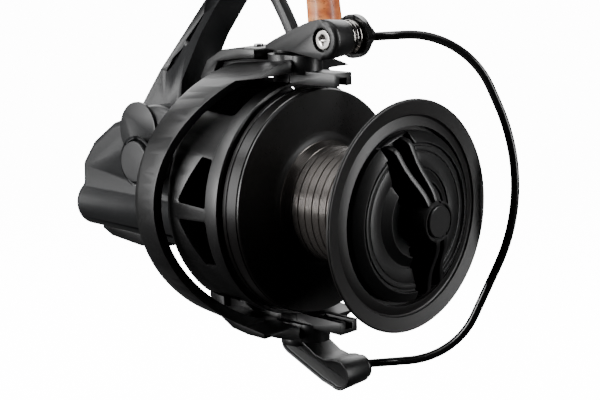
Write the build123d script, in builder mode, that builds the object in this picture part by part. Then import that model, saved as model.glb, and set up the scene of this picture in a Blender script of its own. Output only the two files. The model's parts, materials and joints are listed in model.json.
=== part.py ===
from build123d import *
import os
from math import cos, hypot, pi, radians, sin

# Big-pit spinning reel. Millimetres, +Z up towards the rod, +X forward along the spool.
# The origin is the centre of the flat seat on top of the reel foot.
# Heights inside the reel are given from the spool axis.

os.makedirs("parts", exist_ok=True)

# Driving sizes
axis_drop = 78.0          # rod seat to spool axis
spool_radius = 39.0       # front lip
skirt_radius = 39.5
skirt_back = 29.3         # X of the skirt's rear edge at rest
flange_x = 37.5           # front face of the spool's rear flange
lip_x = 78.0              # plane of the spool's front lip
arbor_back_radius = 20.6
arbor_front_radius = 19.6
hub_bore_gap = 0.08       # running fit on shafts, radial
turn_gap = 0.4            # between pieces that turn past each other
cup_gap = 0.6             # spool skirt to rotor cup, radial
stroke_forward = 5.0
stroke_back = 24.0

shaft_radius = 2.4
pinion_radius = 3.5       # outside of the pinion's plain tube
rotor_turn = 3.4          # the rotor stands this many degrees off upright
rotor_wall = 1.4
rotor_radius = skirt_radius + cup_gap + rotor_wall
rotor_front = 28.5
rotor_floor = -1.0
hoop_inner = 43.2
hoop_outer = 46.6
pivot_x = 23.5            # bail pivots, across the spool axis
pivot_height = 51.0       # outer face of each arm tip
bail_reach = 21.8         # pivot to the lever's barrel
top_barrel_height = 57.0
low_barrel_height = -61.2
wire_radius = 1.5
bail_angle = 32.0         # plane of the wire, from straight ahead

handle_x = -34.0
handle_rise = 8.4
drive_shaft_radius = 4.0
housing_half = 17.0
housing_wall = 2.2
body_front = -13.5
body_split = 5.0          # seam between housing and side cover, in Y
gear_case_radius = 20.5
crank_y = 69.0            # inner face of the crank arm
crank_drop = 35.0         # crank end behind the handle axis
crank_rise = 68.0         # crank end above the handle axis
bar_y = 106.0             # middle of the handle bar

worm_y = -11.0
worm_height = -13.0
worm_radius = 3.0
tube_radius = 9.2

foot_length = 66.0
foot_width = 15.0
foot_thick = 4.6

# Frames
axis_z = -axis_drop
spool_axis = Axis((0, 0, axis_z), (1, 0, 0))
side = Plane(origin=(0, 0, axis_z), x_dir=(1, 0, 0), z_dir=(0, -1, 0))


def across(x, y=0.0, height=0.0):
    return Plane(origin=(x, y, axis_z + height), x_dir=(0, 1, 0), z_dir=(1, 0, 0))


def level(height):
    return Plane(origin=(0, 0, axis_z + height), x_dir=(1, 0, 0), z_dir=(0, 0, 1))


def facing(y, x=0.0, height=0.0):
    return Plane(origin=(x, y, axis_z + height), x_dir=(1, 0, 0), z_dir=(0, 1, 0))


def disc(plane, radius, length, bore=0.0, mode=Mode.ADD):
    with BuildSketch(plane) as face:
        Circle(radius)
        if bore:
            Circle(bore, mode=Mode.SUBTRACT)
    extrude(face.sketch, amount=length, mode=mode)


def turned(points, axis=spool_axis, plane=side, mode=Mode.ADD):
    with BuildSketch(plane) as half:
        with BuildLine():
            Polyline(*points, close=True)
        make_face()
    revolve(half.sketch, axis=axis, mode=mode)


def slab(points, y_low, y_high, corner=0.0, mode=Mode.ADD):
    # outline in X and height, between two Y planes
    with BuildSketch(Plane(origin=(0, y_high, axis_z), x_dir=(1, 0, 0), z_dir=(0, -1, 0))) as outline:
        with BuildLine():
            Polyline(*points, close=True)
        make_face()
        if corner:
            fillet(outline.vertices(), radius=corner)
    extrude(outline.sketch, amount=y_high - y_low, mode=mode)


def block(x_low, x_high, y_low, y_high, z_low, z_high, mode=Mode.ADD):
    slab([(x_low, z_low), (x_high, z_low), (x_high, z_high), (x_low, z_high)], y_low, y_high, mode=mode)


def toothed(plane, root, tip, thick, count, bore, tooth_share=0.36):
    # a spur gear with plain straight teeth
    width = 2 * pi * root / count * tooth_share
    with BuildSketch(plane) as gear_face:
        Circle(root)
        with PolarLocations(0, count):
            with Locations(((root + tip) / 2 - 0.15, 0)):
                Rectangle(tip - root + 0.3, width)
        Circle(bore, mode=Mode.SUBTRACT)
    extrude(gear_face.sketch, amount=thick)


# Body: housing, cover and what they hold

case_outline = [(-60, 20), (-72, 12), (-79, 3), (-79, -12), (-74, -21), (-20, -22.5),
                (body_front, -19), (body_front, 20), (-20, 24), (-45, 25)]


def case_block(y_low, y_high, shrink=0.0):
    with BuildSketch(Plane(origin=(0, y_high, axis_z), x_dir=(1, 0, 0), z_dir=(0, -1, 0))) as outline:
        with BuildLine():
            Polyline(*case_outline, close=True)
        make_face()
        fillet(outline.vertices(), radius=4)
        with Locations((handle_x, handle_rise)):
            Circle(gear_case_radius)
        if shrink:
            offset(amount=-shrink)
    return outline.sketch


bearing_radius = 8.5
bearing_width = 4.5
bearing_x = body_front
clutch_radius = 10.0
clutch_width = 4.2
neck_radius = 14.0
neck_front = bearing_x + bearing_width + clutch_width
drive_bearing_radius = 7.5
drive_bearing_width = 4.0
cap_radius = 7.6
cap_y = -26.6
screw_spots = [(-68, 11), (-68, -17.6), (-19, -18.8), (-17.6, 18.6), (-55, 19)]
boss_radius = 2.0
screw_radius = 1.1
screw_head_radius = 1.9
screw_seat = housing_half - 1.5
idler_y = 1.1
idler_height = -9.6
idler_x = -19.5
idler_pin_radius = 1.4
gear_thick = 2.4

with BuildPart() as reel_body:
    extrude(case_block(-housing_half, body_split), amount=body_split + housing_half)
    fillet(reel_body.faces().sort_by(Axis.Y)[0].edges(), radius=3)
    disc(across(-72, worm_y, worm_height), tube_radius, 72 + body_front)
    disc(across(-72, worm_y, worm_height), tube_radius, -8)
    fillet(reel_body.faces().sort_by(Axis.X)[0].edges(), radius=3.5)
    disc(across(body_front), neck_radius, neck_front - body_front)
    disc(facing(-housing_half, handle_x, handle_rise), 9.6, cap_y + 1.6 + housing_half)
    stem = [(-66, 10), (-60, 18), (-42, 41), (-16.5, 68), (-11, 75.5), (3, 75.5), (-6, 71), (-10.5, 66),
            (-19.3, 55), (-29.4, 37.9), (-30.6, 26.6), (-32, 10)]
    slab(stem, -7, 7)
    with BuildSketch(level(axis_drop - foot_thick)) as foot:
        SlotOverall(foot_length, foot_width)
    extrude(foot.sketch, amount=foot_thick)
    extrude(case_block(body_split, 7.5), amount=2.5, mode=Mode.SUBTRACT)
    extrude(case_block(-housing_half + housing_wall, body_split, housing_wall),
            amount=body_split + housing_half - housing_wall, mode=Mode.SUBTRACT)
    disc(across(-77, worm_y, worm_height), tube_radius - 2, 77 + body_front - 2.5, mode=Mode.SUBTRACT)
    disc(across(idler_x - 0.6, worm_y, worm_height), tube_radius - 1.2, gear_thick + 1.2, mode=Mode.SUBTRACT)
    for spot_x, spot_height in screw_spots:
        disc(facing(-3, spot_x, spot_height), boss_radius, body_split + 3)
        disc(facing(-3, spot_x, spot_height), screw_radius, body_split + 3, mode=Mode.SUBTRACT)
    disc(across(-17, idler_y, idler_height), idler_pin_radius, 2.5, mode=Mode.SUBTRACT)
    # bores: pinion bearing, clutch, drive bearing, worm bushes
    disc(across(-20), 5.6, 30, mode=Mode.SUBTRACT)
    disc(across(bearing_x), bearing_radius, 20, mode=Mode.SUBTRACT)
    disc(across(bearing_x + bearing_width), clutch_radius, 20, mode=Mode.SUBTRACT)
    disc(facing(-housing_half, handle_x, handle_rise), drive_bearing_radius, drive_bearing_width,
         mode=Mode.SUBTRACT)
    disc(facing(cap_y, handle_x, handle_rise), 5.6, 20, mode=Mode.SUBTRACT)
    disc(facing(cap_y, handle_x, handle_rise), cap_radius + 0.2, 3.2, mode=Mode.SUBTRACT)
    disc(across(-81, worm_y, worm_height), 4.6, 81 + body_front, mode=Mode.SUBTRACT)
reel_body.part.label = "reel_body"
export_step(reel_body.part, "parts/reel_body.step")

with BuildPart() as side_cover:
    extrude(case_block(body_split, housing_half), amount=housing_half - body_split)
    fillet(side_cover.faces().sort_by(Axis.Y)[-1].edges(), radius=3)
    disc(facing(housing_half, handle_x, handle_rise), 9.6, 3)
    extrude(case_block(body_split, housing_half - housing_wall, housing_wall),
            amount=housing_half - housing_wall - body_split, mode=Mode.SUBTRACT)
    disc(facing(housing_half - housing_wall, handle_x, handle_rise), 9.7, -1.4)
    for spot_x, spot_height in screw_spots:
        disc(facing(body_split, spot_x, spot_height), boss_radius, screw_seat - body_split)
        disc(facing(body_split, spot_x, spot_height), screw_radius, 20, mode=Mode.SUBTRACT)
        disc(facing(screw_seat, spot_x, spot_height), screw_head_radius, 3, mode=Mode.SUBTRACT)
    disc(facing(housing_half, handle_x, handle_rise), 5.6, 10, mode=Mode.SUBTRACT)
    disc(facing(housing_half - drive_bearing_width, handle_x, handle_rise), drive_bearing_radius,
         drive_bearing_width, mode=Mode.SUBTRACT)
side_cover.part.label = "side_cover"
export_step(side_cover.part, "parts/side_cover.step")

with BuildPart() as bottom_trim:
    slab([(-75, -21.8), (-66, -25.5), (-48, -27), (-38, -26.5), (-34, -22)], -12, 12, corner=0.8)
    add(reel_body.part, mode=Mode.SUBTRACT)
    add(side_cover.part, mode=Mode.SUBTRACT)
bottom_trim.part.label = "bottom_trim"
export_step(bottom_trim.part, "parts/bottom_trim.step")

with BuildPart() as axle_cap:
    disc(facing(cap_y + 3.2, handle_x, handle_rise), cap_radius, -3.2)
    fillet(axle_cap.faces().sort_by(Axis.Y)[0].edges(), radius=0.5)
axle_cap.part.label = "axle_cap"
export_step(axle_cap.part, "parts/axle_cap.step")

badge_x = -42.0
badge_rise = 19.0
with BuildPart() as side_badge:
    disc(facing(-housing_half, badge_x, badge_rise), 10.5, -1.2)
    disc(facing(-housing_half + 1, handle_x, handle_rise), 9.6, -10, mode=Mode.SUBTRACT)
side_badge.part.label = "side_badge"
export_step(side_badge.part, "parts/side_badge.step")

with BuildPart() as cover_screws:
    for spot_x, spot_height in screw_spots:
        disc(facing(housing_half - 1.5, spot_x, spot_height), screw_head_radius, 1.3)
        disc(facing(-2, spot_x, spot_height), screw_radius, housing_half - 1.5 + 2)
cover_screws.part.label = "cover_screws"
export_step(cover_screws.part, "parts/cover_screws.step")

with BuildPart() as drive_bearings:
    for start in (-housing_half, housing_half - drive_bearing_width):
        disc(facing(start, handle_x, handle_rise), drive_bearing_radius, drive_bearing_width,
             bore=drive_shaft_radius + hub_bore_gap)
drive_bearings.part.label = "drive_bearings"
export_step(drive_bearings.part, "parts/drive_bearings.step")

with BuildPart() as pinion_bearing:
    disc(across(bearing_x), bearing_radius, bearing_width, bore=pinion_radius + hub_bore_gap)
pinion_bearing.part.label = "pinion_bearing"
export_step(pinion_bearing.part, "parts/pinion_bearing.step")

sleeve_radius = 5.0
clutch_x = bearing_x + bearing_width
with BuildPart() as one_way_clutch:
    disc(across(clutch_x), clutch_radius, clutch_width, bore=sleeve_radius + 1.8)
one_way_clutch.part.label = "one_way_clutch"
export_step(one_way_clutch.part, "parts/one_way_clutch.step")

roller_ring = (sleeve_radius + 1.8 + sleeve_radius + hub_bore_gap) / 2
roller_size = (1.8 - hub_bore_gap) / 2
with BuildPart() as clutch_rollers:
    with BuildSketch(across(clutch_x + 0.4)) as roller_face:
        with PolarLocations(roller_ring, 8):
            Circle(roller_size)
    extrude(roller_face.sketch, amount=clutch_width - 0.8)
clutch_rollers.part.label = "clutch_rollers"
export_step(clutch_rollers.part, "parts/clutch_rollers.step")

with BuildPart() as clutch_retainer:
    disc(across(neck_front), 13.4, 0.6, bore=sleeve_radius + 0.6)
clutch_retainer.part.label = "clutch_retainer"
export_step(clutch_retainer.part, "parts/clutch_retainer.step")

with BuildPart() as worm_bushes:
    for start in (-80, -16):
        disc(across(start, worm_y, worm_height), 4.6, 2.5, bore=2.0 + hub_bore_gap)
worm_bushes.part.label = "worm_bushes"
export_step(worm_bushes.part, "parts/worm_bushes.step")

rod_y = -9.0
with BuildPart() as guide_rod:
    disc(across(-76.8, rod_y, 0.5), 1.5, 76.8 + body_front - 2.2)
guide_rod.part.label = "guide_rod"
export_step(guide_rod.part, "parts/guide_rod.step")

with BuildPart() as idler_pin:
    disc(across(idler_x - 1.0, idler_y, idler_height), idler_pin_radius, body_front - 1.0 - idler_x + 1.0)
idler_pin.part.label = "idler_pin"
export_step(idler_pin.part, "parts/idler_pin.step")

# Gears

pinion_tip = 4.6
idler_tip = 9.66 - pinion_tip - 0.12
worm_gear_tip = hypot(worm_y - idler_y, worm_height - idler_height) - idler_tip - 0.12
with BuildPart() as idler_gear:
    toothed(across(idler_x, idler_y, idler_height), idler_tip - 0.9, idler_tip, gear_thick, 11,
            idler_pin_radius + hub_bore_gap)
idler_gear.part.label = "idler_gear"
export_step(idler_gear.part, "parts/idler_gear.step")

with BuildPart() as worm_gear:
    toothed(across(idler_x, worm_y, worm_height), worm_gear_tip - 0.9, worm_gear_tip, gear_thick, 17, 2.0)
worm_gear.part.label = "worm_gear"
export_step(worm_gear.part, "parts/worm_gear.step")

with BuildPart() as worm_shaft:
    disc(across(-77.4, worm_y, worm_height), worm_radius, 77.4 + idler_x - 0.6)
    disc(across(-79.8, worm_y, worm_height), 2.0, 79.8 - 13.6)
    for start in range(-74, -26, 4):
        disc(across(start, worm_y, worm_height), worm_radius + 0.5, 1.0, bore=worm_radius - 0.6,
             mode=Mode.SUBTRACT)
worm_shaft.part.label = "worm_shaft"
export_step(worm_shaft.part, "parts/worm_shaft.step")

gear_face_y = pinion_tip + 0.15
gear_outer = 17.2
gear_teeth = 41
with BuildPart() as drive_gear:
    disc(facing(gear_face_y + 1.2, handle_x, handle_rise), gear_outer, 2.6)
    with BuildSketch(facing(gear_face_y, handle_x, handle_rise)) as tooth_face:
        with PolarLocations(gear_outer - 1.7, gear_teeth):
            Rectangle(3.2, 0.9)
    extrude(tooth_face.sketch, amount=1.5)
    disc(facing(-20.5, handle_x, handle_rise), drive_shaft_radius, 42.5)
    disc(facing(gear_face_y + 3.8, handle_x, handle_rise), 7, 2.6)
drive_gear.part.label = "drive_gear"
export_step(drive_gear.part, "parts/drive_gear.step")

with BuildPart() as pinion_gear:
    toothed(across(-27), pinion_tip - 0.9, pinion_tip, 10.0, 10, shaft_radius + hub_bore_gap)
    disc(across(-17), pinion_radius, 24.5, bore=shaft_radius + hub_bore_gap)
pinion_gear.part.label = "pinion_gear"
export_step(pinion_gear.part, "parts/pinion_gear.step")

with BuildPart() as clutch_sleeve:
    disc(across(clutch_x), sleeve_radius, clutch_width + 1.0, bore=pinion_radius)
clutch_sleeve.part.label = "clutch_sleeve"
export_step(clutch_sleeve.part, "parts/clutch_sleeve.step")

# Rotor: cup, hoops and arms. Its pieces are drawn upright, then turned about the spool axis.

web_back = neck_front + 1.0
hub_front = 3.0
inner_wall = rotor_radius - rotor_wall
# C-shaped hoops: a flared shell, kept inside a C outline seen from the side
with BuildPart() as flare:
    turned([(-14, hoop_inner - 1), (-14, hoop_outer - 1.4), (-6, hoop_outer), (36, pivot_height - 0.4),
            (36, pivot_height - 4.6), (-6, hoop_inner)])
with BuildPart() as bow:
    with BuildSketch(Plane(origin=(0, 60, axis_z), x_dir=(1, 0, 0), z_dir=(0, -1, 0))) as bow_face:
        with BuildLine():
            ThreePointArc((2, 46.5), (-8.5, 0), (2, -46.5))
            Line((2, -46.5), (14, -60))
            Line((14, -60), (31, -60))
            Line((31, -60), (31, -45))
            Line((31, -45), (20, -43.5))
            ThreePointArc((20, -43.5), (3, 0), (20, 43.5))
            Line((20, 43.5), (31, 45))
            Line((31, 45), (31, 60))
            Line((31, 60), (14, 60))
            Line((14, 60), (2, 46.5))
        make_face()
    extrude(bow_face.sketch, amount=120)
hoops = flare.part & bow.part

with BuildPart() as rotor:
    turned([(rotor_front, inner_wall), (rotor_front, rotor_radius), (rotor_front - 5.5, rotor_radius),
            (rotor_front - 6, rotor_radius - 0.4), (4, rotor_radius - 0.4), (1.6, rotor_radius - 1.6),
            (-1.2, rotor_radius - 5), (web_back, rotor_radius - 11), (web_back, 18.4), (-10, 18.4), (-10, 16),
            (web_back, 15.4), (web_back, pinion_radius), (hub_front, pinion_radius),
            (hub_front, 8.5), (rotor_floor, 9.5), (rotor_floor, rotor_radius - 13), (1.2, rotor_radius - 7),
            (3.6, inner_wall - 1.2), (skirt_back - stroke_back - turn_gap, inner_wall)])
    # triangular windows each side of the level ribs, and wide ones beside the arms
    for flip in (0, 180):
        for tilt in (15.5, -15.5):
            with BuildSketch(Plane(origin=(0, 0, axis_z), x_dir=(1, 0, 0),
                                   z_dir=(0, -cos(radians(tilt + flip)), sin(radians(tilt + flip))))) as gap:
                lean = 1 if tilt > 0 else -1
                with BuildLine():
                    Polyline((8, -8.2 * lean), (22.5, -8.8 * lean), (22.5, 8.0 * lean), (17, 8.6 * lean),
                             close=True)
                make_face()
                fillet(gap.vertices(), radius=1.0)
            extrude(gap.sketch, amount=60, mode=Mode.SUBTRACT)
        for tilt in (64, -64):
            with BuildSketch(Plane(origin=(0, 0, axis_z), x_dir=(1, 0, 0),
                                   z_dir=(0, -cos(radians(tilt + flip)), sin(radians(tilt + flip))))) as gap:
                with BuildLine():
                    Polyline((3, -8), (22.5, -9.5), (22.5, 9.5), (3, 8), close=True)
                make_face()
                fillet(gap.vertices(), radius=2.0)
            extrude(gap.sketch, amount=60, mode=Mode.SUBTRACT)
    add(hoops)
    for sign in (1, -1):
        # arm spine up from the cup, post under the tip, rounded tip and line guard
        spine = [(-3.5, 29), (-9, 31), (-10, 42), (-4, 47), (8, 48.6), (24, 49), (24, 46), (10, 45),
                 (3, 41.8), (1.5, 36)]
        slab([(x, sign * h) for x, h in spine], -6.5, 6.5)
        block(19.5, 27.5, -4.5, 4.5, min(sign * 40.4, sign * 47.5), max(sign * 40.4, sign * 47.5))
        with BuildSketch(level(sign * 44.5)) as tip:
            with Locations((pivot_x, 0)):
                Circle(7.6)
            with Locations((31, 0)):
                Circle(6.2)
            with Locations((27, 0)):
                Rectangle(9, 12.8)
        extrude(tip.sketch, amount=sign * (pivot_height - 44.5))
        block(24, 49, -4.2, 4.2, min(sign * 41.2, sign * 45.6), max(sign * 41.2, sign * 45.6))
        block(36, 50, -1.7, 1.7, min(sign * 40, sign * 44), max(sign * 40, sign * 44), mode=Mode.SUBTRACT)
        with BuildSketch(level(sign * 40)) as screw_bore:
            with Locations((pivot_x, 0)):
                Circle(3.2)
        extrude(screw_bore.sketch, amount=sign * 6.5, mode=Mode.SUBTRACT)
        with BuildSketch(level(sign * 40)) as pin_bore:
            with Locations((pivot_x, 0)):
                Circle(2.0)
        extrude(pin_bore.sketch, amount=sign * 12, mode=Mode.SUBTRACT)
    disc(across(-10), pinion_radius, 20, mode=Mode.SUBTRACT)


def stood(piece, name):
    # the rotor's pieces stand turned about the spool axis
    placed = piece.part.rotate(spool_axis, rotor_turn)
    placed.label = name
    return placed


export_step(stood(rotor, "rotor"), "parts/rotor.step")

cover_top = 52.6
for sign, name in ((1, "top_arm_cover"), (-1, "low_arm_cover")):
    with BuildPart() as arm_cover:
        shell = [(-13, 31.5), (-14, 41), (-10, 47.5), (-2, 51.6), (6, cover_top), (15.2, cover_top),
                 (15.2, 49.4), (8, 48.9), (-4, 47.2), (-6, 44), (-6, 31.5)]
        slab([(x, sign * h) for x, h in shell], -9, 9)
        fillet(arm_cover.edges().filter_by(Axis.Y).group_by(SortBy.LENGTH)[-1].sort_by(Axis.X)[:3], radius=1.5)
        add(rotor.part, mode=Mode.SUBTRACT)
    export_step(stood(arm_cover, name), "parts/" + name + ".step")

with BuildPart() as arm_cover_screws:
    for sign in (1, -1):
        with BuildSketch(level(sign * cover_top)) as heads:
            with Locations((8, 0)):
                Circle(1.7)
        extrude(heads.sketch, amount=sign * 0.8)
export_step(stood(arm_cover_screws, "arm_cover_screws"), "parts/arm_cover_screws.step")

nut_x = hub_front
with BuildPart() as rotor_nut:
    with BuildSketch(across(nut_x)) as nut_face:
        RegularPolygon(7.2, 6)
        Circle(pinion_radius, mode=Mode.SUBTRACT)
    extrude(nut_face.sketch, amount=3.4)
export_step(stood(rotor_nut, "rotor_nut"), "parts/rotor_nut.step")

export_step(stood(pinion_gear, "pinion_gear"), "parts/pinion_gear.step")
export_step(stood(clutch_sleeve, "clutch_sleeve"), "parts/clutch_sleeve.step")

# Bail: levers, wire, roller and screws, closed as they stand
barrel_x = pivot_x + bail_reach
lever_gap = 0.35
top_barrel_radius = 7.0
low_barrel_radius = 5.6


def lever(sign, barrel_height, barrel_radius, y_near, y_far, thick):
    base = pivot_height + lever_gap
    with BuildSketch(level(sign * base)) as plate:
        with BuildLine():
            Polyline((pivot_x, -6.2), (barrel_x, y_near), (barrel_x, y_far), (barrel_x - 7, y_far),
                     (pivot_x, 6.2), close=True)
        make_face()
        with Locations((pivot_x, 0)):
            Circle(6.2)
    extrude(plate.sketch, amount=sign * thick)
    disc(facing(y_near, barrel_x, barrel_height), barrel_radius, y_far - y_near)


with BuildPart() as roller_lever:
    lever(1, top_barrel_height, top_barrel_radius, -6.0, 3.5, 5.2)
    disc(facing(-6.1, barrel_x, top_barrel_height), 3.7, 1.9, mode=Mode.SUBTRACT)
    disc(facing(-6, barrel_x, top_barrel_height), 1.6, 12, mode=Mode.SUBTRACT)
    with BuildSketch(level(pivot_height - 1)) as pin_hole:
        with Locations((pivot_x, 0)):
            Circle(1.5)
    extrude(pin_hole.sketch, amount=4.2, mode=Mode.SUBTRACT)
export_step(stood(roller_lever, "roller_lever"), "parts/roller_lever.step")

with BuildPart() as plain_lever:
    lever(-1, low_barrel_height, low_barrel_radius, -3.0, 9.0, 4.6)
    with BuildSketch(level(-pivot_height + 1)) as pin_hole:
        with Locations((pivot_x, 0)):
            Circle(1.5)
    extrude(pin_hole.sketch, amount=-4.2, mode=Mode.SUBTRACT)
    disc(facing(5, barrel_x, low_barrel_height), 2.6, 6, mode=Mode.SUBTRACT)
export_step(stood(plain_lever, "plain_lever"), "parts/plain_lever.step")

with BuildPart() as bail_pivot_screws:
    for sign in (1, -1):
        with BuildSketch(level(sign * 43.4)) as head:
            with Locations((pivot_x, 0)):
                Circle(3.0)
        extrude(head.sketch, amount=sign * 2.9)
        with BuildSketch(level(sign * 46.3)) as shank:
            with Locations((pivot_x, 0)):
                Circle(2.0 - hub_bore_gap)
        extrude(shank.sketch, amount=sign * 4.7)
        with BuildSketch(level(sign * 51.0)) as thread:
            with Locations((pivot_x, 0)):
                Circle(1.5)
        extrude(thread.sketch, amount=sign * 3.0)
export_step(stood(bail_pivot_screws, "bail_pivot_screws"), "parts/bail_pivot_screws.step")

roller_y = 3.9
roller_width = 4.2
cone_y = 8.5
cone_depth = 2.6
with BuildPart() as line_roller:
    barrel = [(roller_y, 5.9), (roller_y + 0.7, 5.9), (roller_y + 1.5, 5.2), (roller_y + 2.8, 5.2),
              (roller_y + 3.5, 5.9), (roller_y + roller_width, 5.9), (roller_y + roller_width, 3.1),
              (roller_y, 3.1)]
    with BuildSketch(Plane(origin=(barrel_x, 0, axis_z + top_barrel_height), x_dir=(0, 1, 0),
                           z_dir=(1, 0, 0))) as roller_half:
        with BuildLine():
            Polyline(*barrel, close=True)
        make_face()
    revolve(roller_half.sketch, axis=Axis((barrel_x, 0, axis_z + top_barrel_height), (0, 1, 0)))
export_step(stood(line_roller, "line_roller"), "parts/line_roller.step")

with BuildPart() as roller_bush:
    disc(facing(3.5, barrel_x, top_barrel_height), 3.1 - hub_bore_gap, cone_y - 3.5, bore=1.6)
export_step(stood(roller_bush, "roller_bush"), "parts/roller_bush.step")

with BuildPart() as roller_screw:
    disc(facing(-5.6, barrel_x, top_barrel_height), 3.5, 1.4)
    fillet(roller_screw.faces().sort_by(Axis.Y)[0].edges(), radius=0.5)
    disc(facing(-4.2, barrel_x, top_barrel_height), 1.6, cone_y + 1.4 + 4.2)
    for long_x, long_z in ((3.6, 0.8), (0.8, 3.6)):
        with BuildSketch(facing(-5.7, barrel_x, top_barrel_height)) as slot:
            Rectangle(long_x, long_z)
        extrude(slot.sketch, amount=0.9, mode=Mode.SUBTRACT)
export_step(stood(roller_screw, "roller_screw"), "parts/roller_screw.step")

bail_plane = Plane(origin=(pivot_x, 0, axis_z), x_dir=(cos(radians(bail_angle)), sin(radians(bail_angle)), 0),
                   z_dir=(sin(radians(bail_angle)), -cos(radians(bail_angle)), 0))
wire_start = (28.0, top_barrel_height - 0.6)
wire_end = (23.5, low_barrel_height)
with BuildPart() as bail_wire:
    with BuildLine(bail_plane) as wire_path:
        FilletPolyline(wire_start, (61.5, 58), (84.5, 5), (57, -57), wire_end, radius=[30, 70, 30])
    with BuildSketch(Plane(origin=wire_path.line @ 0, z_dir=wire_path.line % 0)) as wire_face:
        Circle(wire_radius)
    sweep(wire_face.sketch, path=wire_path.line)
export_step(stood(bail_wire, "bail_wire"), "parts/bail_wire.step")

with BuildPart() as wire_cone:
    disc(facing(cone_y, barrel_x, top_barrel_height), 7.5, cone_depth)
    with BuildSketch(facing(cone_y + cone_depth, barrel_x, top_barrel_height)) as cone_base:
        Circle(7.2)
    with BuildSketch(facing(cone_y + cone_depth + 4.0, barrel_x + 2.6, top_barrel_height)) as cone_tip:
        Circle(2.6)
    loft([cone_base.sketch, cone_tip.sketch])
    disc(facing(cone_y - 0.1, barrel_x, top_barrel_height), 1.6, 1.5, mode=Mode.SUBTRACT)
    add(bail_wire.part, mode=Mode.SUBTRACT)
export_step(stood(wire_cone, "wire_cone"), "parts/wire_cone.step")

with BuildPart() as wire_collar:
    disc(facing(5, barrel_x, low_barrel_height), 2.6, 5.5)
    disc(facing(9.0, barrel_x, low_barrel_height), 4.4, 1.5)
    add(bail_wire.part, mode=Mode.SUBTRACT)
export_step(stood(wire_collar, "wire_collar"), "parts/wire_collar.step")

# Spool shaft and what slides with it
shaft_back = -50.0
shaft_front = 84.0
slider_x = -44.0
slider_half = 4.0
with BuildPart() as main_shaft:
    disc(across(shaft_back), shaft_radius, shaft_front - shaft_back)
    chamfer(main_shaft.faces().sort_by(Axis.X)[-1].edges(), length=0.4)
main_shaft.part.label = "main_shaft"
export_step(main_shaft.part, "parts/main_shaft.step")

with BuildPart() as slider_block:
    with BuildSketch(across(slider_x - slider_half)) as slider_face:
        with BuildLine():
            Polyline((3.2, 3.3), (-11.5, 3.3), (-14.2, -1), (-14.2, -8.5), (-6.5, -8.5), (3.2, -4.5), close=True)
        make_face()
    extrude(slider_face.sketch, amount=2 * slider_half)
    disc(across(-60), shaft_radius, 40, mode=Mode.SUBTRACT)
    disc(across(-60, worm_y, worm_height), worm_radius + 0.9, 40, mode=Mode.SUBTRACT)
    disc(across(-60, rod_y, 0.5), 1.5 + hub_bore_gap, 40, mode=Mode.SUBTRACT)
slider_block.part.label = "slider_block"
export_step(slider_block.part, "parts/slider_block.step")

with BuildPart() as slider_pawl:
    with BuildSketch(level(-8.5)) as pawl_face:
        with Locations((slider_x, worm_y)):
            Circle(1.4)
    extrude(pawl_face.sketch, amount=-0.55)
slider_pawl.part.label = "slider_pawl"
export_step(slider_pawl.part, "parts/slider_pawl.step")

spool_hub_back = 40.2
with BuildPart() as spool_seat:
    disc(across(36.0), 6.0, spool_hub_back - 36.0 - 0.1, bore=shaft_radius)
spool_seat.part.label = "spool_seat"
export_step(spool_seat.part, "parts/spool_seat.step")

# Spool
recess_radius = 30.0
recess_floor = 75.4
chamber_radius = 16.4
chamber_floor = 58.0
clip_x = 33.4
clip_radius = 2.6
clip_depth = 0.7          # pocket in the skirt
clip_proud = cup_gap / 2
clip_gap = 0.05
with BuildPart() as spool:
    turned([(skirt_back, skirt_radius - 1.3), (skirt_back, skirt_radius), (36.9, skirt_radius),
            (flange_x, spool_radius), (flange_x, arbor_back_radius + 3.0),
            (flange_x + 1.0, arbor_back_radius + 1.0), (flange_x + 3.2, arbor_back_radius),
            (69, arbor_front_radius), (72.0, arbor_front_radius + 1.6), (76.4, spool_radius - 1.6),
            (77.2, spool_radius), (lip_x, spool_radius), (78.4, spool_radius - 0.5),
            (77.4, 33.6), (76.6, 33.2), (77.9, recess_radius), (recess_floor, recess_radius),
            (recess_floor, chamber_radius), (chamber_floor, chamber_radius),
            (chamber_floor, shaft_radius + hub_bore_gap), (spool_hub_back, shaft_radius + hub_bore_gap),
            (spool_hub_back, 8.0), (55, 8.0), (55, 17.6), (flange_x - 2.2, 17.6),
            (flange_x - 2.2, skirt_radius - 2.2), (skirt_back + 1.5, skirt_radius - 1.3)])
    for turn in range(9):
        groove_x = flange_x + 5.5 + turn * 3.1
        disc(across(groove_x), arbor_back_radius + 1, 0.35, bore=arbor_front_radius - 0.1 + (8 - turn) * 0.1,
             mode=Mode.SUBTRACT)
    disc(facing(skirt_radius - clip_depth, clip_x, 0), clip_radius + clip_gap, 3, mode=Mode.SUBTRACT)
spool.part.label = "spool"
export_step(spool.part, "parts/spool.step")

with BuildPart() as line_clip:
    disc(facing(skirt_radius - clip_depth, clip_x, 0), clip_radius, 3)
    disc(across(20), skirt_radius + clip_proud, 40, mode=Mode.INTERSECT)
line_clip.part.label = "line_clip"
export_step(line_clip.part, "parts/line_clip.step")

with BuildPart() as click_ring:
    with BuildSketch(across(flange_x - 4.2)) as click_face:
        Circle(14.0)
        with PolarLocations(14.2, 36):
            Rectangle(1.6, 0.9)
        Circle(11.0, mode=Mode.SUBTRACT)
    extrude(click_face.sketch, amount=2.0)
    with BuildSketch(across(flange_x - 2.2)) as click_rim:
        Circle(17.6)
        Circle(13.0, mode=Mode.SUBTRACT)
    extrude(click_rim.sketch, amount=1.5)
click_ring.part.label = "click_ring"
export_step(click_ring.part, "parts/click_ring.step")

washer_thick = 1.0
washer_pitch = 1.1
with BuildPart() as eared_washers:
    for turn in range(3):
        disc(across(chamber_floor + 1.2 + 2 * turn * washer_pitch), chamber_radius, washer_thick, bore=6.0)
eared_washers.part.label = "eared_washers"
export_step(eared_washers.part, "parts/eared_washers.step")

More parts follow.
